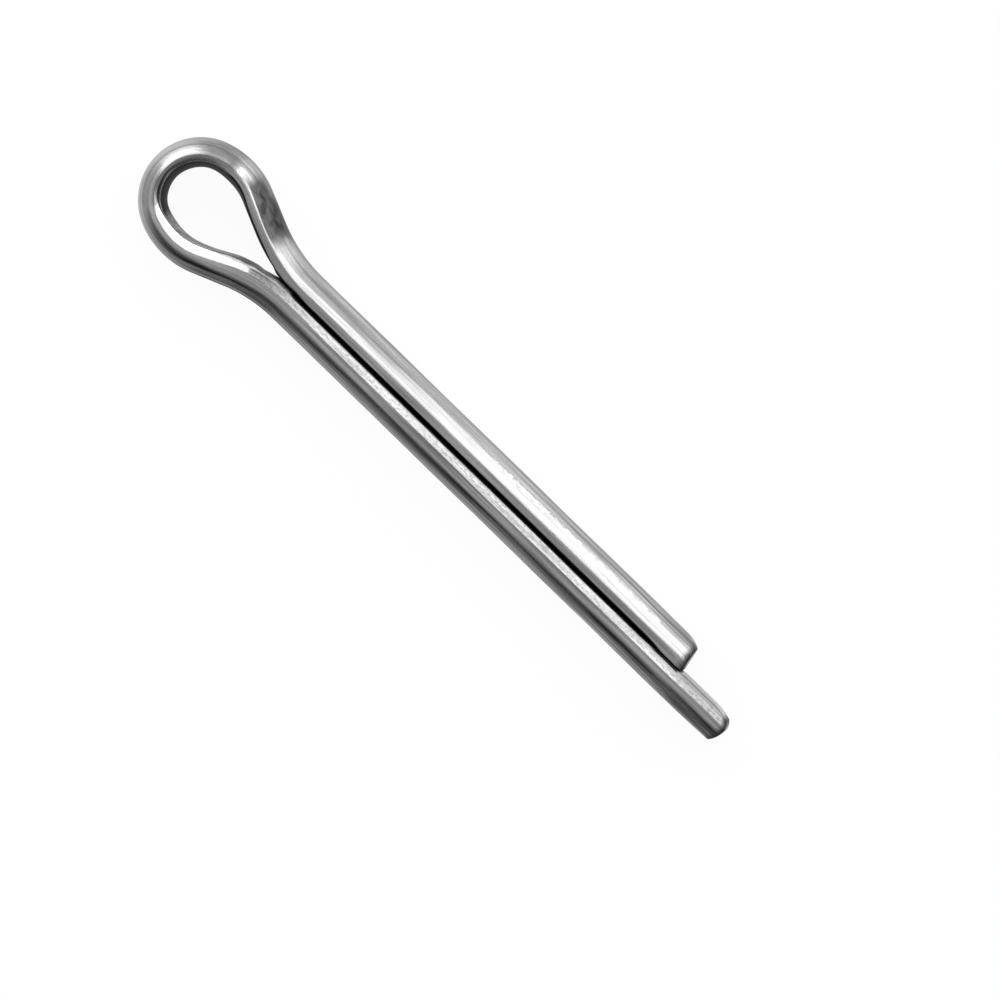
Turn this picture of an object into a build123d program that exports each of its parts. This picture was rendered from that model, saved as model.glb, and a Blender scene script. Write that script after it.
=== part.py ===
from build123d import *
from math import cos, radians, sin, sqrt, tan
import os

os.makedirs("parts", exist_ok=True)

# A cotter pin for a 3.2 mm hole, 25 mm long: one half-round steel wire, folded round an eye.
# It lies flat, with X along the shank towards the tips, Y towards the short leg and Z up.
# The origin is on the shank's axis, where the long leg leaves the eye's neck. Lengths are in
# millimetres and angles in degrees.

# Shank: the two legs lie flat to flat and make one round bar.
shank_diameter = 2.9
leg_gap = 0.06  # between the flat faces, at the middle of their slight bulge
short_leg_length = 24.15  # straight length, from the origin to the tip
leg_extension = 3.13  # from the short leg's tip to the long leg's rolled edge

# Wire section, in shares of the shank's radius, measured from the flat face's middle.
flat_half_width_share = 0.78  # flat face, from its middle to the bevel
bulge_share = 0.08  # how far the flat face falls back at the bevel
bevel_share = 0.32  # where the bevel meets the round crown
edge_radius = 0.06

# Eye: a pear-shaped loop, measured on the flat face, that leans towards the short leg.
eye_radius = 1.42
shoulder_radius = 2.62
crown_turn = 140  # turned at the eye's own radius, the rest at the shoulders'
neck_angle = 22.6  # slope of the neck's straight runs to the eye's axis
neck_radius = 7.15  # reverse bend from neck to shank, on the crown
eye_lean = 0.95

# Sheared tips: the blade rolls one edge over and leaves a slanting face with a worn rim.
roll_length = 1.45
short_roll_depth = 0.28
long_roll_depth = 0.22
roll_corner_radius = 0.2  # between the rolled edge and the face
shear_slant = 10.5
short_face_bulge = 0.02  # how far the face swells past the straight line across it
long_face_bulge = 0.16
short_rim_radius = 0.42  # worn round above and below
long_rim_radius = 0.3
long_tip_taper = 0.12  # what the long tip's crown loses towards its end
long_tip_taper_length = 3.2
cut_overrun = 0.05  # how far cutting profiles reach past the wire

# Worked out from the sizes above.
shank_radius = shank_diameter / 2
half_gap = leg_gap / 2
wire_thickness = shank_radius - half_gap
long_leg_length = short_leg_length + leg_extension
neck_line_radius = neck_radius + wire_thickness
shoulder_turn = (180 - crown_turn) / 2 + neck_angle
long_neck_turn = neck_angle - eye_lean
short_neck_turn = neck_angle + eye_lean

# The straight runs of the neck are as long as it takes to bring both legs onto the shank's axis.
head_half_height = shoulder_radius * cos(radians(neck_angle))
head_half_height += (eye_radius - shoulder_radius) * sin(radians(crown_turn / 2))
bend_rise = neck_line_radius * (2 - cos(radians(long_neck_turn)) - cos(radians(short_neck_turn)))
run_slopes = sin(radians(long_neck_turn)) + sin(radians(short_neck_turn))
neck_run = (2 * head_half_height * cos(radians(eye_lean)) - leg_gap - bend_rise) / run_slopes

# Corners of the wire's section: across the fold from the flat face, and up from its middle.
flat_edge = bulge_share * shank_radius
flat_top = flat_half_width_share * shank_radius
bevel_edge = bevel_share * shank_radius
bevel_top = sqrt(shank_radius**2 - (bevel_edge + half_gap) ** 2)

with BuildPart() as cotter_pin:
    # Line of the flat face's middle, from the long tip round the eye to the short tip.
    with BuildLine() as wire_line:
        long_leg = Line((long_leg_length + long_face_bulge + cut_overrun, -half_gap), (0, -half_gap))
        long_bend = JernArc(long_leg @ 1, long_leg % 1, neck_line_radius, long_neck_turn)
        long_run = Line(long_bend @ 1, (long_bend @ 1) + (long_bend % 1) * neck_run)
        long_shoulder = JernArc(long_run @ 1, long_run % 1, shoulder_radius, -shoulder_turn)
        crown = JernArc(long_shoulder @ 1, long_shoulder % 1, eye_radius, -crown_turn)
        short_shoulder = JernArc(crown @ 1, crown % 1, shoulder_radius, -shoulder_turn)
        short_run = Line(short_shoulder @ 1, (short_shoulder @ 1) + (short_shoulder % 1) * neck_run)
        short_bend = JernArc(short_run @ 1, short_run % 1, neck_line_radius, short_neck_turn)
        short_wire_end = short_leg_length + short_face_bulge + cut_overrun
        short_leg = Line(short_bend @ 1, (short_wire_end, (short_bend @ 1).Y))

    # Half-round section with a bulged flat and bevelled corners, drawn at the long tip.
    with BuildSketch(Plane(long_leg @ 0, x_dir=(0, -1, 0), z_dir=long_leg % 0)) as wire_section:
        with BuildLine():
            ThreePointArc((bevel_edge, bevel_top), (wire_thickness, 0), (bevel_edge, -bevel_top))
            Line((bevel_edge, -bevel_top), (flat_edge, -flat_top))
            ThreePointArc((flat_edge, -flat_top), (0, 0), (flat_edge, flat_top))
            Line((flat_edge, flat_top), (bevel_edge, bevel_top))
        make_face()
        fillet(wire_section.vertices(), edge_radius)
    sweep(path=wire_line.line)

    # The blade rolls over the short tip's crown, and its face slants forward to the flat side. On the
    # long tip it rolls over the flat side, and the face slants back to the crown.
    for tip_x, rolled_y, far_y, roll_depth, face_bulge, rim_radius, slants_forward in (
        (short_leg_length, shank_radius, 0, short_roll_depth, short_face_bulge, short_rim_radius, True),
        (
            long_leg_length, -half_gap, -shank_radius - cut_overrun,
            long_roll_depth, long_face_bulge, long_rim_radius, False,
        ),
    ):
        roll_end_y = rolled_y - roll_depth
        set_back = (roll_end_y - far_y) * tan(radians(shear_slant))
        roll_start = Vector(tip_x - roll_length, rolled_y + cut_overrun)
        roll_end = Vector(tip_x - set_back if slants_forward else tip_x, roll_end_y)
        face_end = Vector(tip_x if slants_forward else tip_x - set_back, far_y)
        face_line = face_end - roll_end
        outwards = Vector(-face_line.Y, face_line.X).normalized()
        face_middle = (roll_end + face_end) / 2 + outwards * face_bulge
        with BuildSketch() as shear_waste:
            waste_x = tip_x + face_bulge + 2 * cut_overrun
            with BuildLine():
                TangentArc(roll_start, roll_end, tangent=(1, 0))
                ThreePointArc(roll_end, face_middle, face_end)
                Polyline(face_end, (waste_x, far_y), (waste_x, roll_start.Y), roll_start)
            make_face()
            fillet(shear_waste.vertices().sort_by_distance(roll_end)[0], roll_corner_radius)
        extrude(amount=shank_diameter, both=True, mode=Mode.SUBTRACT)

        # The face's upper and lower rims are worn round.
        with BuildSketch(Plane(face_middle, x_dir=outwards, z_dir=face_line)):
            with BuildLine():
                rim = JernArc((-rim_radius, bevel_top), (1, 0), rim_radius, -90)
                Polyline(
                    rim @ 1, (cut_overrun, bevel_top - rim_radius), (cut_overrun, bevel_top + cut_overrun),
                    (-rim_radius, bevel_top + cut_overrun), rim @ 0,
                )
            make_face()
            mirror(about=Plane.XZ)
        extrude(amount=face_line.length / 2 + cut_overrun, both=True, mode=Mode.SUBTRACT)

    # The long tip's crown tapers off towards its end, where the blade dragged it.
    with BuildSketch():
        taper_start = (long_leg_length - long_tip_taper_length, -shank_radius - cut_overrun)
        taper_end = (long_leg_length + long_face_bulge, -shank_radius + long_tip_taper)
        with BuildLine():
            Polyline(taper_start, (taper_end[0], taper_start[1]), taper_end, close=True)
        make_face()
    extrude(amount=shank_diameter, both=True, mode=Mode.SUBTRACT)

cotter_pin.part.label = "cotter_pin"
export_step(cotter_pin.part, "parts/cotter_pin.step")
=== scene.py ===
import bpy
import numpy as np
from mathutils import Matrix, Vector


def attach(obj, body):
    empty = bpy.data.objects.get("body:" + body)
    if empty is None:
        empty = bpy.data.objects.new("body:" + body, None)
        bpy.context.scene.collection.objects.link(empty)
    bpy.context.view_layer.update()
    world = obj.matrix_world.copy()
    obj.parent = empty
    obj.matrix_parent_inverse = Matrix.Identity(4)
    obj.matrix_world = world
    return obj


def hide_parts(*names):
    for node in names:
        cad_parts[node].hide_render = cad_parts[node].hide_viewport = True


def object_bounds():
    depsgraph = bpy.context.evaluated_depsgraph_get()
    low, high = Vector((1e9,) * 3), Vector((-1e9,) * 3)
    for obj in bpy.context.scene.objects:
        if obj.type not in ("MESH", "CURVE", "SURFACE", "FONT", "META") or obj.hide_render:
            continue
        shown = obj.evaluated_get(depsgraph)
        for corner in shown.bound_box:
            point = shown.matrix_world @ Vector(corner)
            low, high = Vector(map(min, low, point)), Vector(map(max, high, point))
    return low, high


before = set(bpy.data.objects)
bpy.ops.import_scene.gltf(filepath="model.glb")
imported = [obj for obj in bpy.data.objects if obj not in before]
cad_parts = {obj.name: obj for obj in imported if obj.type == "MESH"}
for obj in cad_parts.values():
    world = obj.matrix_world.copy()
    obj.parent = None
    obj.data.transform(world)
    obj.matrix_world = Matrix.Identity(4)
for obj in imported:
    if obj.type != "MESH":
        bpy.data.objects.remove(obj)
cad_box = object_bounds()

# Pin wire: the whole cotter pin is one length of half-round low-carbon steel wire. It was drawn through a
# die, folded round a mandrel so that its two flats lie together, and sheared at both ends, one leg longer.
# The bright zinc plating came last, so it also covers the marks that the forming tools left on the wire.
mm = 0.001
shank_radius = 1.45
half_gap = 0.03  # from the split's middle to a flat
wire_thickness = shank_radius - half_gap
short_leg_x = 24.14  # tips, measured along the shank from the eye's neck
long_leg_x = 27.34
eye_radius = 1.42
shoulder_radius = 2.62
neck_radius = 7.15 + wire_thickness
crown_turn = np.radians(140)
neck_angle = np.radians(22.6)
eye_lean = np.radians(0.95)

long_neck_turn = neck_angle - eye_lean
short_neck_turn = neck_angle + eye_lean
shoulder_turn = (np.pi - crown_turn) / 2 + neck_angle
head_half_height = shoulder_radius * np.cos(neck_angle)
head_half_height += (eye_radius - shoulder_radius) * np.sin(crown_turn / 2)
bend_rise = neck_radius * (2 - np.cos(long_neck_turn) - np.cos(short_neck_turn))
neck_run = 2 * head_half_height * np.cos(eye_lean) - 2 * half_gap - bend_rise
neck_run /= np.sin(long_neck_turn) + np.sin(short_neck_turn)

# Lengths and curvatures of the fold, from the long tip to where the short leg starts.
bend_lengths = np.array([
    long_leg_x, neck_radius * long_neck_turn, neck_run, shoulder_radius * shoulder_turn,
    eye_radius * crown_turn, shoulder_radius * shoulder_turn, neck_run, neck_radius * short_neck_turn,
])
bend_curvatures = np.array([
    0, 1 / neck_radius, 0, -1 / shoulder_radius, -1 / eye_radius, -1 / shoulder_radius, 0, 1 / neck_radius,
])
bend_starts = np.concatenate([[0], np.cumsum(bend_lengths)])
bend_headings = np.pi + np.concatenate([[0], np.cumsum(bend_lengths * bend_curvatures)])
long_bend_start, crown_start, short_leg_start = bend_starts[[1, 4, 8]]


def arc_step(length, curvature, heading):
    """The move along an arc: its chord, which is the arc times sinc of half its turn, at the mean heading."""
    chord = length * np.sinc(curvature * length / 2 / np.pi)
    mean = heading + curvature * length / 2
    return np.stack([chord * np.cos(mean), chord * np.sin(mean)], axis=-1)


bend_points = np.array([[long_leg_x, -half_gap]]) + np.concatenate([
    np.zeros((1, 2)),
    np.cumsum(arc_step(bend_lengths, bend_curvatures, bend_headings[:-1]), axis=0),
])
wire_length = bend_starts[-1] + short_leg_x - bend_points[-1, 0]


def fold_line(along):
    """Point and heading of the flat's middle at each distance along the wire: the start of the bend or
    straight that holds it, plus the arc from there."""
    piece = np.clip(np.searchsorted(bend_starts, along, side="right") - 1, 0, len(bend_starts) - 1)
    curvature = np.append(bend_curvatures, 0)[piece]
    step = along - bend_starts[piece]
    return bend_points[piece] + arc_step(step, curvature, bend_headings[piece]), (
        bend_headings[piece] + curvature * step
    )


def swell(along, start, rise, fall, end):
    """A hump of height 1 between rise and fall, with smooth ramps out to start and end."""
    up = np.clip((along - start) / (rise - start), 0, 1)
    down = np.clip((end - along) / (end - fall), 0, 1)
    return up * up * (3 - 2 * up) * down * down * (3 - 2 * down)


# Stations along the wire lie close together at the tips and round the eye, and profile points close
# together at the four edges of the section.
tip_zone = 3.2
eye_zone = (26, 46)
tip_spread = np.linspace(0, 1, 60) ** 1.6
stations = np.unique(np.concatenate([
    tip_zone * tip_spread,
    np.linspace(tip_zone, eye_zone[0], 110),
    np.linspace(*eye_zone, 300),
    np.linspace(eye_zone[1], wire_length - tip_zone, 90),
    wire_length - tip_zone * tip_spread,
]))[:, None]
short_rest = wire_length - stations
on_long_leg = stations < crown_start
from_short_tip = np.where(on_long_leg, stations - long_leg_x + short_leg_x, short_rest)

# In what follows each swell has four places in millimetres, along the wire from the long tip unless it says
# otherwise, and the number before it is its height. These two pairs lie off the ends of the wire, for a swell
# that holds from the long tip on, or up to the short tip.
from_tip = (-2, -1)
to_tip = (80, 81)

# Round the eye the bevel lies farther out, and the flat gives way a little on the inside of the bend. The
# bulged flat falls back by flat_fall at its edge, less so at the short tip, and the bevel meets the crown
# at facet_outer.
bevel_slope = 0.667
flat_fall = 0.1 + 0.2 * swell(stations, 31.0, 36.2, 37.8, 40.5)
flat_fall = flat_fall - 0.065 * swell(from_short_tip, -0.1, 0, 1.0, 2.4)
facet_outer = 0.45 + 0.13 * swell(stations, 29.4, 33.2, 37.8, 41)
facet_outer = facet_outer + 0.04 * swell(stations, 34.5, 36, 37.8, 39.5)
facet_outer = facet_outer - 0.03 * swell(stations, *from_tip, 1.5, 3.5)
facet_outer = facet_outer - 0.018 * swell(stations, *from_tip, 29, 32)
facet_outer = facet_outer - 0.045 * swell(stations, 24.5, 26.5, 29.3, 32)
facet_outer = facet_outer - 0.035 * swell(stations, 41.5, 44.5, *to_tip)
facet_top = np.sqrt(shank_radius**2 - (facet_outer + half_gap) ** 2)
flat_top = facet_top - (facet_outer - flat_fall) * bevel_slope

# The flats touch along the shank and a little way into the neck. They meet a little off the split's middle,
# because the long one swells and the short one gives way, most at the neck. The long flat also swells at the
# narrow end of the eye and past the short tip, and inside the eye the flat gives way.
bend_depth = np.clip(np.minimum(stations - long_bend_start, short_leg_start - stations), 0, None)
flat_lift = (half_gap + bend_depth**2 / (2 * neck_radius)) * swell(bend_depth, *from_tip, 1.15, 1.9)
flat_lift = flat_lift + 0.13 * swell(stations, 28.6, 29.6, 30.2, 31.8)
meeting = 0.03 * swell(from_short_tip, 5.8, 10.8, 23.2, 24.4)
meeting = meeting + 0.08 * swell(from_short_tip, 23.2, 24.4, 25, 25.6)
flat_lift = flat_lift + np.where(on_long_leg, meeting, -meeting)
flat_lift = flat_lift + 0.09 * swell(stations, *from_tip, 3.05, 3.3)
flat_lift = flat_lift - 0.07 * swell(stations, 33.6, 34.8, 37.2, 38.6)
flat_lift = flat_lift - 0.03 * swell(stations, 34.0, 34.9, 35.7, 36.6)
edge_sharpness = 60  # per millimetre
heart = 0.6  # the section is drawn round this point, outward from the flat's middle

crown_steps = np.sin(np.linspace(0, 1, 31)[:-1] * np.pi / 2)
facet_steps = (1 - np.cos(np.linspace(0, 1, 15)[:-1] * np.pi)) / 2
flat_steps = 1 - np.cos(np.linspace(0, 1, 13)[:-1] * np.pi / 2)
crown_edge = np.arctan2(facet_top, facet_outer - heart)
flat_edge = np.arctan2(flat_top, flat_fall - heart)
half_turn = np.concatenate([
    crown_edge * crown_steps,
    crown_edge + (flat_edge - crown_edge) * facet_steps,
    flat_edge + (np.pi - flat_edge) * flat_steps,
], axis=1)
turn = np.concatenate([half_turn, np.full_like(crown_edge, np.pi), -half_turn[:, :0:-1]], axis=1)


def circle_reach(turn, centre, radius):
    """Distance from the heart to a circle that surrounds it, in each direction of the turn."""
    offset = heart - centre
    return -offset * np.cos(turn) + np.sqrt(radius**2 - (offset * np.sin(turn)) ** 2)


def wire_section(turn):
    """Half-round section with a bulged flat and bevelled corners: the soft minimum of the reaches to the
    crown's circle, the flat's circle and the two bevel lines, so that the edges between them are rounded."""
    bulge_radius = (flat_top**2 + flat_fall**2) / (2 * flat_fall)
    slope_n, slope_z = flat_top - facet_top, facet_outer - flat_fall
    to_bevel = (facet_outer - heart) * slope_n + facet_top * slope_z
    facing_up = np.cos(turn) * slope_n + np.sin(turn) * slope_z
    facing_down = np.cos(turn) * slope_n - np.sin(turn) * slope_z
    far, least = 9.0, 1e-6  # a reach that never counts, and a facing that is as good as none
    reaches = np.stack([
        circle_reach(turn, -half_gap, shank_radius),
        circle_reach(turn, bulge_radius - flat_lift, bulge_radius),
        np.where(facing_up > least, to_bevel / np.maximum(facing_up, least), far),
        np.where(facing_down > least, to_bevel / np.maximum(facing_down, least), far),
    ])
    nearest = reaches.min(axis=0)
    return nearest - np.log(np.exp(-edge_sharpness * (reaches - nearest)).sum(axis=0)) / edge_sharpness


reach = wire_section(turn)

# The drawn wire is never quite even: long shallow waves of a few thousandths of a millimetre run along it.
wave_count = 10
shortest_pitch, longest_pitch = 2.2, 9.0
lowest_wave = 0.0006
fade_turn = 0.3  # radians, over which the waves fade out towards the flat
wave_rng = np.random.default_rng(7)
wave_pitch = wave_rng.uniform(shortest_pitch, longest_pitch, wave_count)
wave_phase = wave_rng.uniform(0, 2 * np.pi, wave_count)
wave_side = wave_rng.integers(1, 4, wave_count)
wave_height = lowest_wave * wave_pitch / shortest_pitch
waves = np.cos(
    2 * np.pi * stations[:, :, None] / wave_pitch + wave_phase + wave_side * turn[:, :, None]
) * wave_height
off_flat = np.clip((flat_edge - np.abs(turn)) / fade_turn, 0, 1)
reach = reach + (waves.sum(axis=2) - wave_height.sum() / 2) * off_flat

lowness = 0.985  # the die leaves the wire a shade lower than it is round
outward = heart + reach * np.cos(turn)
upward = lowness * reach * np.sin(turn)

# Sheared tips: the blade rolls one edge of the end over, the end face slants, and its rim is worn round.
section_middle = 0.62
tip_softness = 0.02  # of the rolled edge, in millimetres
short_worn, long_worn, side_worn = 0.42, 0.3, 0.1  # radii of the rims, above and below, and at the sides
crown_top, flat_bottom = 1.46, -0.12  # just clear of the crown and the swollen flat, outward from the flat
short_roll, long_taper, long_roll = 1.5, 2.9, 1.6  # lengths that the blade rolled over or dragged thin
short_roll_depth, long_taper_depth, long_roll_depth = 0.32, 0.13, 0.22


def soft_lower(a, b):
    """The lower of two values, with the step between them rounded over."""
    return np.minimum(a, b) - tip_softness * np.log1p(np.exp(-np.abs(a - b) / tip_softness))


def nearness(rest, zone):
    """Runs from 0 at the zone's edge to 1 at the end of the wire."""
    return np.clip(1 - rest / zone, 0, 1)


def round_over(rest, radius):
    """How far a quarter round of that radius has drawn in, at each distance from the end."""
    return radius * (1 - np.sqrt(1 - nearness(rest, radius) ** 2))


for rest, worn_round in ((short_rest, short_worn), (stations, long_worn)):
    upward = upward * (1 - round_over(rest, worn_round) / shank_radius)
    outward = section_middle + (outward - section_middle) * (1 - round_over(rest, side_worn) / section_middle)
short_crown = crown_top - short_roll_depth * nearness(short_rest, short_roll) ** 2.6
long_crown = crown_top - long_taper_depth * nearness(stations, long_taper)
long_flat = flat_bottom + long_roll_depth * nearness(stations, long_roll) ** 2
outward = np.where(short_rest < short_roll, soft_lower(outward, short_crown), outward)
outward = np.where(stations < long_taper, soft_lower(outward, long_crown), outward)
outward = np.where(stations < long_roll, -soft_lower(-outward, -long_flat), outward)

# Each end face is closed by rings that shrink towards its middle.
face_shares = np.array([[0.3], [0.6], [0.82]])
size = np.concatenate([face_shares, np.ones_like(stations), face_shares[::-1]])
ring = np.clip(np.arange(len(size)) - len(face_shares), 0, len(stations) - 1)
ring_outward = section_middle + (outward[ring] - section_middle) * size
ring_upward = upward[ring] * size

# The rings near a tip lean over little by little into its end face: straight and slanted on the short leg,
# blunt and round on the long one.
lean_zone = 1.2
short_slant = 0.185
nose_outward = 0.55
crown_blunting, flat_blunting = 0.45, 1.1  # per millimetre, on either side of the long tip's nose
nose = ring_outward - nose_outward
short_lean = nearness(short_rest[ring], lean_zone) * (ring_outward + half_gap) * short_slant
long_lean = nearness(stations[ring], lean_zone) * nose**2 * np.where(nose > 0, crown_blunting, flat_blunting)
line, heading = fold_line(stations[ring, 0])
tangent = np.stack([np.cos(heading), np.sin(heading)], axis=-1)[:, None]
normal = np.stack([-np.sin(heading), np.cos(heading)], axis=-1)[:, None]
lying = line[:, None] + ring_outward[:, :, None] * normal + (long_lean - short_lean)[:, :, None] * tangent
surface = np.concatenate([lying, ring_upward[:, :, None]], axis=2)
ring_count, ring_points = surface.shape[:2]
points = np.concatenate([surface.reshape(-1, 3), surface[[0, -1]].mean(axis=1)]) * mm

here = np.arange(ring_points)
beside = np.roll(here, -1)
row = np.arange(ring_count - 1)[:, None] * ring_points
quads = np.stack([row + here, row + ring_points + here, row + ring_points + beside, row + beside], axis=-1)
last_row = (ring_count - 1) * ring_points
long_fan = np.stack([np.full(ring_points, len(points) - 2), here, beside], axis=-1)
short_fan = np.stack([np.full(ring_points, len(points) - 1), last_row + beside, last_row + here], axis=-1)
wire_mesh = bpy.data.meshes.new("pin_wire")
wire_mesh.from_pydata(
    points.tolist(), [], quads.reshape(-1, 4).tolist() + long_fan.tolist() + short_fan.tolist()
)
wire_mesh.shade_smooth()
pin_wire = bpy.data.objects.new("pin_wire", wire_mesh)
bpy.context.scene.collection.objects.link(pin_wire)

# Where each point lies on the wire, for the finish: millimetres along it, round it from the crown's middle,
# and up. Both halves of the section count alike, so that nothing jumps at the crown or the flat. On the end
# faces it is millimetres across the face instead, so that the shear's lines run over them.
arc = np.hypot(np.diff(outward, axis=1), np.diff(upward, axis=1)).cumsum(axis=1)
arc = np.concatenate([np.zeros_like(stations), arc], axis=1)
girth = arc[:, -1:] + np.hypot(outward[:, -1:] - outward[:, :1], upward[:, -1:] - upward[:, :1])
on_face = size[:, 0] < 1
around = np.where(on_face[:, None], ring_outward, np.minimum(arc, girth - arc)[ring])
place = np.stack([np.broadcast_to(stations[ring], around.shape), around, ring_upward], axis=-1)

# Marks, each as a soft field from 0 to 1: where a tool pinched the wire and left it dull and
# mottled; a painted highlight, lighter colour where reflections of the softboxes show white; painted shade,
# dark colour for reflections of dark surroundings and for shade, with one real scratch; and dark oxide on
# the sheared ends, with painted shade on the flats and on some edges by the split.
edge_blur = 0.06  # radians round the section
long_side = swell(stations, *from_tip, 33, 35.4)
on_flat = np.clip((np.abs(turn) - flat_edge - 0.03 * long_side) / edge_blur + 0.5, 0, 1)
on_crown = np.clip((crown_edge - np.abs(turn)) / edge_blur + 0.5, 0, 1)
on_bevel = (1 - on_flat) * (1 - on_crown)
past_crease = outward - facet_outer
top_side = np.clip((upward + 0.5) / 0.55, 0, 1)

# Pinched: beside the eye on the short leg, and fainter over its top.
pinch_reach = 0.5 + 0.3 * swell(stations, 39.6, 40.4, 43, 44)
pinched = 1.1 * swell(stations, 38.45, 39.5, 40.9, 43.0) * top_side
pinched = pinched * swell(past_crease, 0.06, 0.16, pinch_reach, pinch_reach + 0.7)
pinched = np.maximum(pinched, (
    0.7 * swell(stations, 36.3, 37.4, 38.1, 38.7) * swell(past_crease, -0.15, 0.05, 0.2, 1.6) * top_side
))

# Painted highlight: the colour is made lighter, and the roughness lower, so that the softboxes' reflections
# show white. It lies on the long leg's bevel at the eye, in a small spot across from it, and in a band on the
# short leg.
painted_highlight = swell(stations, 29.45, 29.85, 34.3, 34.75) * swell(
    outward, flat_fall - 0.02, flat_fall + 0.12, facet_outer - 0.12, facet_outer + 0.02
) * on_bevel
highlight_spot = swell(stations, 38.34, 38.46, 38.6, 38.72) * swell(outward, 0.59, 0.68, 0.84, 0.95) * top_side
highlight_band = 0.45 * swell(stations, 53, 57, 66, 67.5) * swell(outward, 0.72, 0.84, 1.0, 1.14) * top_side
painted_highlight = np.max([painted_highlight, highlight_spot, highlight_band], axis=0)

# Painted shade: dark colour that stands in for reflections of the dark surroundings and for shade, in a band
# and rim along the long leg, its crease and bevel, the outermost edges, the inside of the eye, and patches at
# the neck and the tips; and one long scratch, which is a real mark.
at_long_tip = swell(stations, *from_tip, 2.2, 4)
outer = outward + 0.1 * at_long_tip - 0.06 * swell(stations, 28, 30, 31, 32.5)
at_long_neck = swell(stations, 25.5, 28.5, 31.5, 33.5)
# A painted reflection of dark surroundings: a dark band, and a dark rim outside it, along the long leg's
# outer side.
painted_dark_reflection = (0.84 + 0.08 * at_long_neck) * swell(outer, 0.7, 0.92, 1.06, 1.3) * long_side * top_side
rim_tone = 0.64 + 0.24 * at_long_tip + 0.26 * at_long_neck + 0.07 * swell(stations, 2, 4, 11, 19)
painted_dark_rim = rim_tone * np.clip((outer - 1.0) / 0.15, 0, 1) * long_side * top_side
# Painted shade on the outermost edges.
painted_edge_shade = 0.7 * np.clip((outward - 1.32) / 0.07, 0, 1)
# Painted shade along the crease between the bevel and the crown.
painted_crease_shade = 0.25 * swell(np.abs(past_crease - 0.08), *from_tip, 0.03, 0.09)
painted_crease_shade = painted_crease_shade * swell(stations, *from_tip, 27, 29)
# Painted shade on the long leg's bevel, deepest by the neck.
painted_bevel_shade = on_bevel * (
    0.18 * swell(stations, *from_tip, 25, 27) + 0.2 * at_long_tip
    + 0.4 * swell(stations, 25, 27, 34.3, 34.8) + 0.34 * swell(stations, 26.8, 28.8, 29.4, 29.8)
)
# Painted shade on the bevel inside the eye, and on the crown by the crease at the eye's left.
painted_eye_inside_shade = 0.74 * on_bevel * swell(stations, 34.4, 34.9, 36.6, 38.8)
painted_eye_inside_shade = painted_eye_inside_shade * np.clip((0.74 - outward) / 0.42, 0, 1)
painted_eye_left_shade = 0.52 * swell(stations, 34.2, 34.7, 35.3, 36.0) * swell(past_crease, -0.2, -0.05, 0.2, 1.0)
# Painted shade on the short leg's crown by the neck, and on the long leg's flat by its tip.
painted_neck_shade = 0.5 * swell(stations, 42, 44, 47, 54) * swell(outward, 0.68, 0.86, 1.0, 1.25)
painted_tip_flat_shade = 0.4 * np.clip((0.3 - outward) / 0.12, 0, 1) * swell(stations, *from_tip, 3.0, 3.3)
scratch_line = np.abs(outward - 1.22 - 0.02 * np.sin(1.1 * stations))
scratch = 0.5 * swell(scratch_line, *from_tip, 0.015, 0.05) * swell(stations, 57, 61, 66.5, 68) * top_side
# Painted shade on the short leg's outer side towards its tip.
painted_tip_shade = 0.5 * swell(short_rest, *from_tip, 1.0, 4) * np.clip((outward - 0.95) / 0.3, 0, 1)
painted_shade_and_scratch = np.max([
    painted_dark_reflection, painted_dark_rim, painted_edge_shade, painted_crease_shade, painted_bevel_shade, painted_eye_inside_shade, painted_eye_left_shade, painted_tip_flat_shade, painted_neck_shade,
    painted_tip_shade, scratch,
], axis=0)

# Oxide on the sheared ends; and painted shade, dark colour for the shade in the split, on the flats but less
# so at the eye, by the neck and at the tips, on the flat's edge on the short leg and, by the short tip, on
# the long one, and on the long leg's outer rim.
sheared = 0.8 * np.maximum(nearness(short_rest, 0.62), nearness(stations, 0.45))
at_short_tip = swell(short_rest, *from_tip, 0.9, 2.4)
# Painted shade on the flats, where the split lies in shade.
painted_flat_shade = 1 - 0.5 * swell(stations, 29.5, 30.5, 33.8, 34.8) - swell(stations, *from_tip, 3.12, 3.3)
painted_flat_shade = painted_flat_shade - 0.55 * swell(stations, 27, 27.8, 29.2, 30.4) - 0.6 * at_short_tip
short_inner = 0.045 + 0.07 * swell(stations, 37.5, 39, 41.6, 43)
# Painted shade on the short leg's flat edge, beside the split.
painted_flat_edge_shade = np.clip((flat_fall + short_inner - outward) / 0.04, 0, 1) * swell(stations, 37, 39, *to_tip)
painted_flat_edge_shade = painted_flat_edge_shade * (1 - 0.6 * at_short_tip - 0.3 * swell(stations, 41.8, 42.6, 44.4, 46))
# Painted shade beside the split's start, by the short tip.
painted_tip_edge_shade = 0.7 * np.clip((0.12 - outward) / 0.04, 0, 1) * swell(stations, 3.2, 3.4, 4.6, 5.6)
# Painted shade on the long leg's outer rim.
painted_outer_rim_shade = (0.55 + 0.4 * at_long_neck) * np.clip((outward - 1.33) / 0.05, 0, 1) * long_side * top_side
oxide_and_painted_shade = np.max([
    on_flat * painted_flat_shade, painted_flat_edge_shade, painted_tip_edge_shade, painted_outer_rim_shade, np.broadcast_to(sheared, turn.shape),
], axis=0)
speckled = 0.1 + 0.45 * on_bevel * long_side
# The four channels: pinched, painted highlight, painted shade with one scratch, and oxide with painted shade.
marks = np.stack([pinched, painted_highlight, painted_shade_and_scratch, oxide_and_painted_shade], axis=-1)[ring]
marks[:, :, 3] *= 1 - 0.5 * np.clip((1 - size) / 0.45, 0, 1)  # zinc reached the end faces' middles in part


def on_surface(field):
    """A field of the rings, with its mean at each end for the middles of the end faces."""
    return np.concatenate([field.reshape(-1, field.shape[2]), field[[0, -1]].mean(axis=1)]).astype(np.float32)


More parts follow.
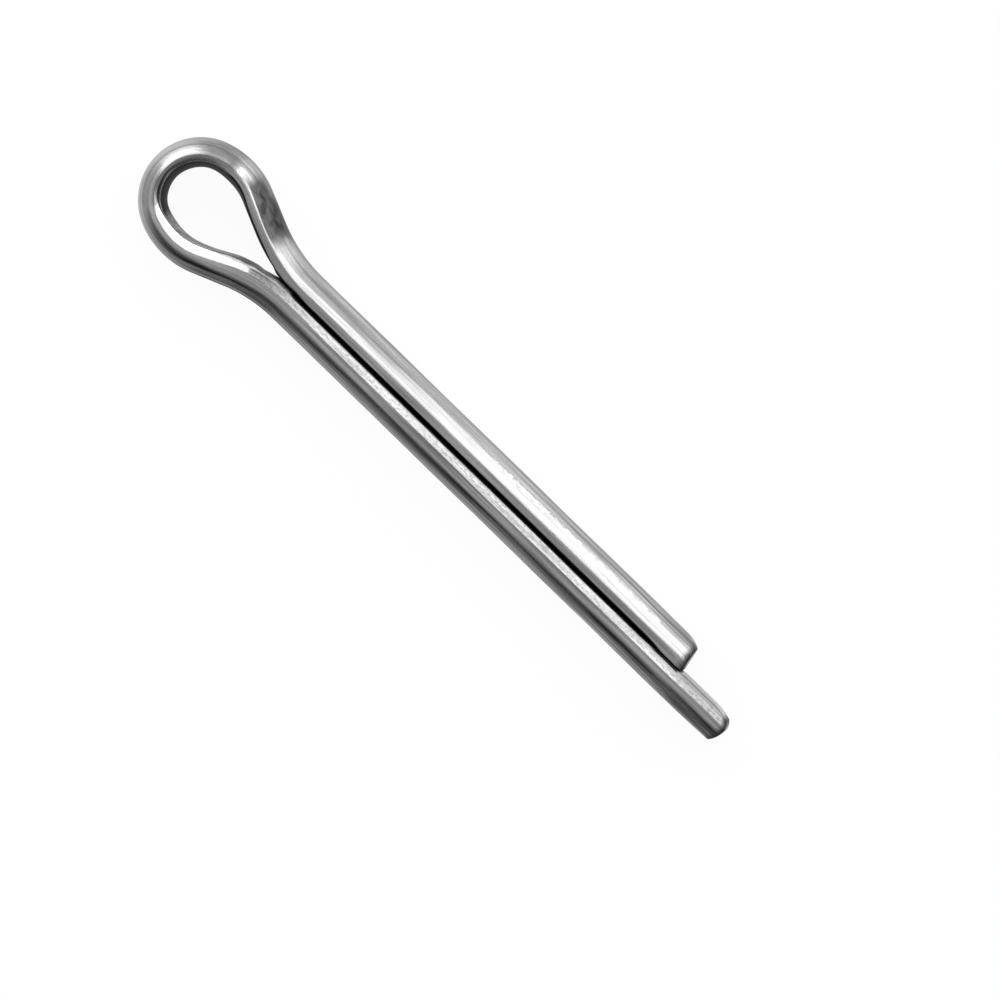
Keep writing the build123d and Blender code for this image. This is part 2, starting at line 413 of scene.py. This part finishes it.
place_layer = wire_mesh.attributes.new("wire_place", "FLOAT_VECTOR", "POINT")
place_layer.data.foreach_set("vector", on_surface(place).ravel())
mark_layer = wire_mesh.attributes.new("wire_marks", "FLOAT_COLOR", "POINT")
mark_layer.data.foreach_set("color", on_surface(marks).ravel())
speckle_layer = wire_mesh.attributes.new("wire_speckle", "FLOAT", "POINT")
speckle_layer.data.foreach_set("value", on_surface(speckled[ring, :, None]).ravel())


# Bright zinc on drawn steel: a neutral mirror that the die's fine lines stretch along the wire, broken by
# small speckles in the plating, and dull and mottled where tools pinched it; painted highlight and painted
# shade are laid into its colour.
def linear(hex_colour):
    """An sRGB hex colour as linear red, green, blue and alpha."""
    srgb = np.array([int(hex_colour[i : i + 2], 16) for i in (1, 3, 5)]) / 255
    return (*np.where(srgb <= 0.04045, srgb / 12.92, ((srgb + 0.055) / 1.055) ** 2.4), 1.0)


def add_node(tree, kind, inputs=None, **settings):
    """Adds a node, sets its properties, and sets or links its inputs. A node given as an input is linked
    by its first output that is in use."""
    made = tree.nodes.new(kind)
    for name, value in settings.items():
        setattr(made, name, value)
    for name, value in (inputs or {}).items():
        if isinstance(value, bpy.types.Node):
            value = next(socket for socket in value.outputs if socket.enabled)
        if isinstance(value, bpy.types.NodeSocket):
            tree.links.new(value, made.inputs[name])
        else:
            made.inputs[name].default_value = value
    return made


zinc_plate = bpy.data.materials.new("bright_zinc_plated_drawn_steel")
zinc_plate.use_nodes = True
plate = zinc_plate.node_tree
plate.nodes.clear()
place_here = add_node(plate, "ShaderNodeAttribute", attribute_name="wire_place").outputs["Vector"]
marks_here = add_node(plate, "ShaderNodeAttribute", attribute_name="wire_marks").outputs
speckled_here = add_node(plate, "ShaderNodeAttribute", attribute_name="wire_speckle").outputs["Fac"]
# Channels: pinched, painted highlight, painted shade with one scratch, and oxide with painted shade.
pinched_here, painted_highlight_here, painted_shade_and_scratch_here = add_node(
    plate, "ShaderNodeSeparateColor", {0: marks_here["Color"]}
).outputs
oxide_and_shade_here = marks_here["Alpha"]

# Patterns by the size of their grain in millimetres, along, round and up the wire. Real die lines are finer
# than a hundredth of a millimetre, so they are drawn coarser here, to show at all.
grains = {}
for name, grain_size, detail in (
    ("die lines", (5.0, 0.13, 0.5), 3.0),
    ("speckle", (0.2, 0.11, 0.12), 2.0),
    ("mottle", (0.5, 0.35, 0.5), 3.0),
    ("cloud", (3.5, 0.9, 0.9), 2.0),
):
    scaled = add_node(plate, "ShaderNodeVectorMath", {
        0: place_here, 1: 1 / np.array(grain_size),
    }, operation="MULTIPLY")
    grains[name] = add_node(plate, "ShaderNodeTexNoise", {
        "Vector": scaled, "Scale": 1.0, "Detail": detail, "Roughness": 0.6,
    })

# Each pattern stretched between two of its values, to the strengths that a use of it has there.
shares = {}
for name, grain, limits, strengths in (
    ("die tone", "die lines", (0.32, 0.68), (0.0, 1.0)),
    ("cloud tone", "cloud", (0.35, 0.7), (0.0, 0.45)),
    ("speckle tone", "speckle", (0.46, 0.64), (0.0, 1.0)),
    ("mottle tone", "mottle", (0.3, 0.7), (0.0, 1.0)),
    # The next two vary the painted shade's strength along the die lines and the clouds.
    ("shade lines", "die lines", (0.3, 0.7), (1.1, 0.9)),
    ("shade clouds", "cloud", (0.35, 0.65), (1.06, 0.92)),
    ("roughness", "die lines", (0.3, 0.7), (0.2, 0.3)),
):
    shares[name] = add_node(plate, "ShaderNodeMapRange", {
        "Value": grains[grain], "From Min": limits[0], "From Max": limits[1],
        "To Min": strengths[0], "To Max": strengths[1],
    }, interpolation_type="SMOOTHSTEP")

# Marks with soft fields get ragged edges, because a pattern shifts where they start.
for name, field, grain, shift, low, high in (
    ("pinched", pinched_here, "mottle", 0.7, 0.05, 1.0),
    ("painted_highlight", painted_highlight_here, "speckle", 1.1, 0.35, 0.65),
    ("oxide_and_painted_shade", oxide_and_shade_here, "mottle", 0.5, 0.1, 0.8),
):
    shifted = add_node(plate, "ShaderNodeMath", {
        0: grains[grain], 1: shift, 2: field,
    }, operation="MULTIPLY_ADD")
    shares[name] = add_node(plate, "ShaderNodeMapRange", {
        "Value": shifted, "From Min": low + shift / 2, "From Max": high + shift / 2,
    }, interpolation_type="SMOOTHSTEP")
for name, first, second in (
    ("speckled", shares["speckle tone"], speckled_here),
    ("painted_shade_and_scratch", painted_shade_and_scratch_here, shares["shade lines"]),
    ("mottled", grains["mottle"], shares["pinched"]),
):
    shares[name] = add_node(plate, "ShaderNodeMath", {0: first, 1: second}, operation="MULTIPLY")
shares["painted_shade_and_scratch"] = add_node(plate, "ShaderNodeMath", {
    0: shares["painted_shade_and_scratch"], 1: shares["shade clouds"],
}, operation="MULTIPLY")

# Layers of colour from the zinc up, each over the one before by its share.
dull = add_node(plate, "ShaderNodeMix", {
    0: shares["mottle tone"], 6: linear("#323232"), 7: linear("#5c5c5c"),
}, data_type="RGBA")
colour = linear("#9e9e9e")
# Of these layers, the light grey one is a painted highlight, the near-black one before it is painted shade
# with one scratch, and the last one is oxide with painted shade.
for name, layer in (
    ("die tone", linear("#d0d0d0")), ("cloud tone", linear("#999999")), ("speckled", linear("#7c7c7c")),
    ("pinched", dull), ("painted_shade_and_scratch", linear("#161616")), ("painted_highlight", linear("#e2e2e2")),
    ("oxide_and_painted_shade", linear("#1c1c1c")),
):
    colour = add_node(plate, "ShaderNodeMix", {0: shares[name], 6: colour, 7: layer}, data_type="RGBA")
rough = shares["roughness"]
for name, change in (("pinched", 0.14), ("painted_highlight", -0.12), ("oxide_and_painted_shade", 0.3)):
    rough = add_node(plate, "ShaderNodeMath", {
        0: shares[name], 1: change, 2: rough,
    }, operation="MULTIPLY_ADD")
relief = 0.0
for grain, height in ((grains["die lines"], 0.35), (grains["speckle"], 0.5), (shares["mottled"], 0.9)):
    relief = add_node(plate, "ShaderNodeMath", {0: grain, 1: height, 2: relief}, operation="MULTIPLY_ADD")
metal = add_node(plate, "ShaderNodeMath", {0: shares["oxide_and_painted_shade"], 1: -0.9, 2: 1.0}, operation="MULTIPLY_ADD")
grain_depth = 0.008 * mm
plate_shader = add_node(plate, "ShaderNodeBsdfPrincipled", {
    "Base Color": colour, "Metallic": metal, "Roughness": rough, "Specular IOR Level": 0.1,
    "Normal": add_node(plate, "ShaderNodeBump", {"Height": relief, "Strength": 1.0, "Distance": grain_depth}),
})
add_node(plate, "ShaderNodeOutputMaterial", {"Surface": plate_shader})
wire_mesh.materials.append(zinc_plate)
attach(pin_wire, "root")
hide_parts("cotter_pin")

# Floor: a plain sheet of matt white paper, on which the pin lies. It is not part of the pin.
floor_half = 3.0
floor_z = cad_box[0].z
floor_mesh = bpy.data.meshes.new("floor")
floor_mesh.from_pydata([
    (-floor_half, -floor_half, floor_z), (floor_half, -floor_half, floor_z),
    (floor_half, floor_half, floor_z), (-floor_half, floor_half, floor_z),
], [], [(0, 1, 2, 3)])
floor = bpy.data.objects.new("floor", floor_mesh)
bpy.context.scene.collection.objects.link(floor)

# Matt white paper: reads as white wherever it is seen, straight on or in the metal, and still takes the
# pin's soft shadow in the share that is left matt.
paper = bpy.data.materials.new("matt_white_paper")
paper.use_nodes = True
sheet = paper.node_tree
sheet.nodes.clear()
white_share = 0.95
rays = add_node(sheet, "ShaderNodeLightPath").outputs
seen = add_node(sheet, "ShaderNodeMath", {
    0: rays["Is Camera Ray"], 1: rays["Is Glossy Ray"],
}, operation="ADD")
seen = add_node(sheet, "ShaderNodeMath", {
    0: seen, 1: rays["Is Transmission Ray"],
}, operation="ADD", use_clamp=True)
mixed = add_node(sheet, "ShaderNodeMixShader", {
    0: add_node(sheet, "ShaderNodeMath", {0: seen, 1: white_share}, operation="MULTIPLY"),
    1: add_node(sheet, "ShaderNodeBsdfDiffuse", {"Color": linear("#f4f4f4")}),
    2: add_node(sheet, "ShaderNodeEmission", {"Color": linear("#ffffff"), "Strength": 1.0}),
})
add_node(sheet, "ShaderNodeOutputMaterial", {"Surface": mixed})
floor_mesh.materials.append(paper)


# Studio light: a large softbox on the short leg's side, a weaker one and a fill behind the eye, and dim
# grey walls that darken towards the floor.
def softbox(name, azimuth, polar, wide, tall, radiance):
    """A rectangle of light a metre away that faces the pin, sized by the angles that it covers. Azimuth
    is counted from the shank's axis, and polar from straight up, in degrees."""
    lamp = bpy.data.lights.new(name, "AREA")
    lamp.shape = "RECTANGLE"
    lamp.size = 2 * np.tan(np.radians(wide / 2))
    lamp.size_y = 2 * np.tan(np.radians(tall / 2))
    lamp.energy = radiance * np.pi * lamp.size * lamp.size_y
    a, p = np.radians(azimuth), np.radians(polar)
    away = Vector((np.sin(p) * np.cos(a), np.sin(p) * np.sin(a), np.cos(p)))
    stand = bpy.data.objects.new(name, lamp)
    stand.matrix_world = Matrix.Translation(away) @ away.to_track_quat("Z", "Y").to_matrix().to_4x4()
    bpy.context.scene.collection.objects.link(stand)


softbox("key_softbox", 88, 61, 84, 56, 1.75)
softbox("second_softbox", 160, 60, 50, 60, 1.9)
softbox("back_fill", 210, 60, 44, 60, 0.65)

studio = bpy.data.worlds.new("studio")
bpy.context.scene.world = studio
studio.use_nodes = True
walls = studio.node_tree
walls.nodes.clear()
outlook = add_node(walls, "ShaderNodeTexCoord").outputs["Generated"]
height = add_node(walls, "ShaderNodeSeparateXYZ", {0: outlook}).outputs["Z"]
level = add_node(walls, "ShaderNodeMapRange", {
    "Value": height, "From Min": 0.05, "From Max": 0.45, "To Min": 0.14, "To Max": 0.58,
}, interpolation_type="SMOOTHSTEP")
glow = add_node(walls, "ShaderNodeBackground", {"Color": linear("#ffffff"), "Strength": level})
add_node(walls, "ShaderNodeOutputWorld", {"Surface": glow})

# Camera: a long lens almost straight above, leaning a little towards the tips and the short leg, turned
# so that the shank runs down to the right.
lean_to_tips, lean_to_short_leg = np.radians(2.5), np.radians(4.0)
shank_roll = np.radians(44.206)
view_back = Vector((np.sin(lean_to_tips), np.sin(lean_to_short_leg), 0))
view_back.z = np.sqrt(1 - view_back.length_squared)
shank_seen = (Vector((1, 0, 0)) - view_back * view_back.x).normalized()
side_seen = view_back.cross(shank_seen)
view_right = shank_seen * np.cos(shank_roll) + side_seen * np.sin(shank_roll)
view_up = view_back.cross(view_right)
lens = bpy.data.cameras.new("camera")
lens.lens = 400
lens.sensor_width = 36
lens.clip_start = 0.01
frame_width = 44.68 * mm
view_middle = Vector((12.95 * mm, -0.18 * mm, 0))
camera = bpy.data.objects.new("camera", lens)
camera.matrix_world = Matrix.Translation(
    view_middle + view_back * (frame_width * lens.lens / lens.sensor_width)
) @ Matrix((view_right, view_up, view_back)).transposed().to_4x4()
bpy.context.scene.collection.objects.link(camera)
bpy.context.scene.camera = camera
bpy.context.scene.view_settings.view_transform = "Standard"
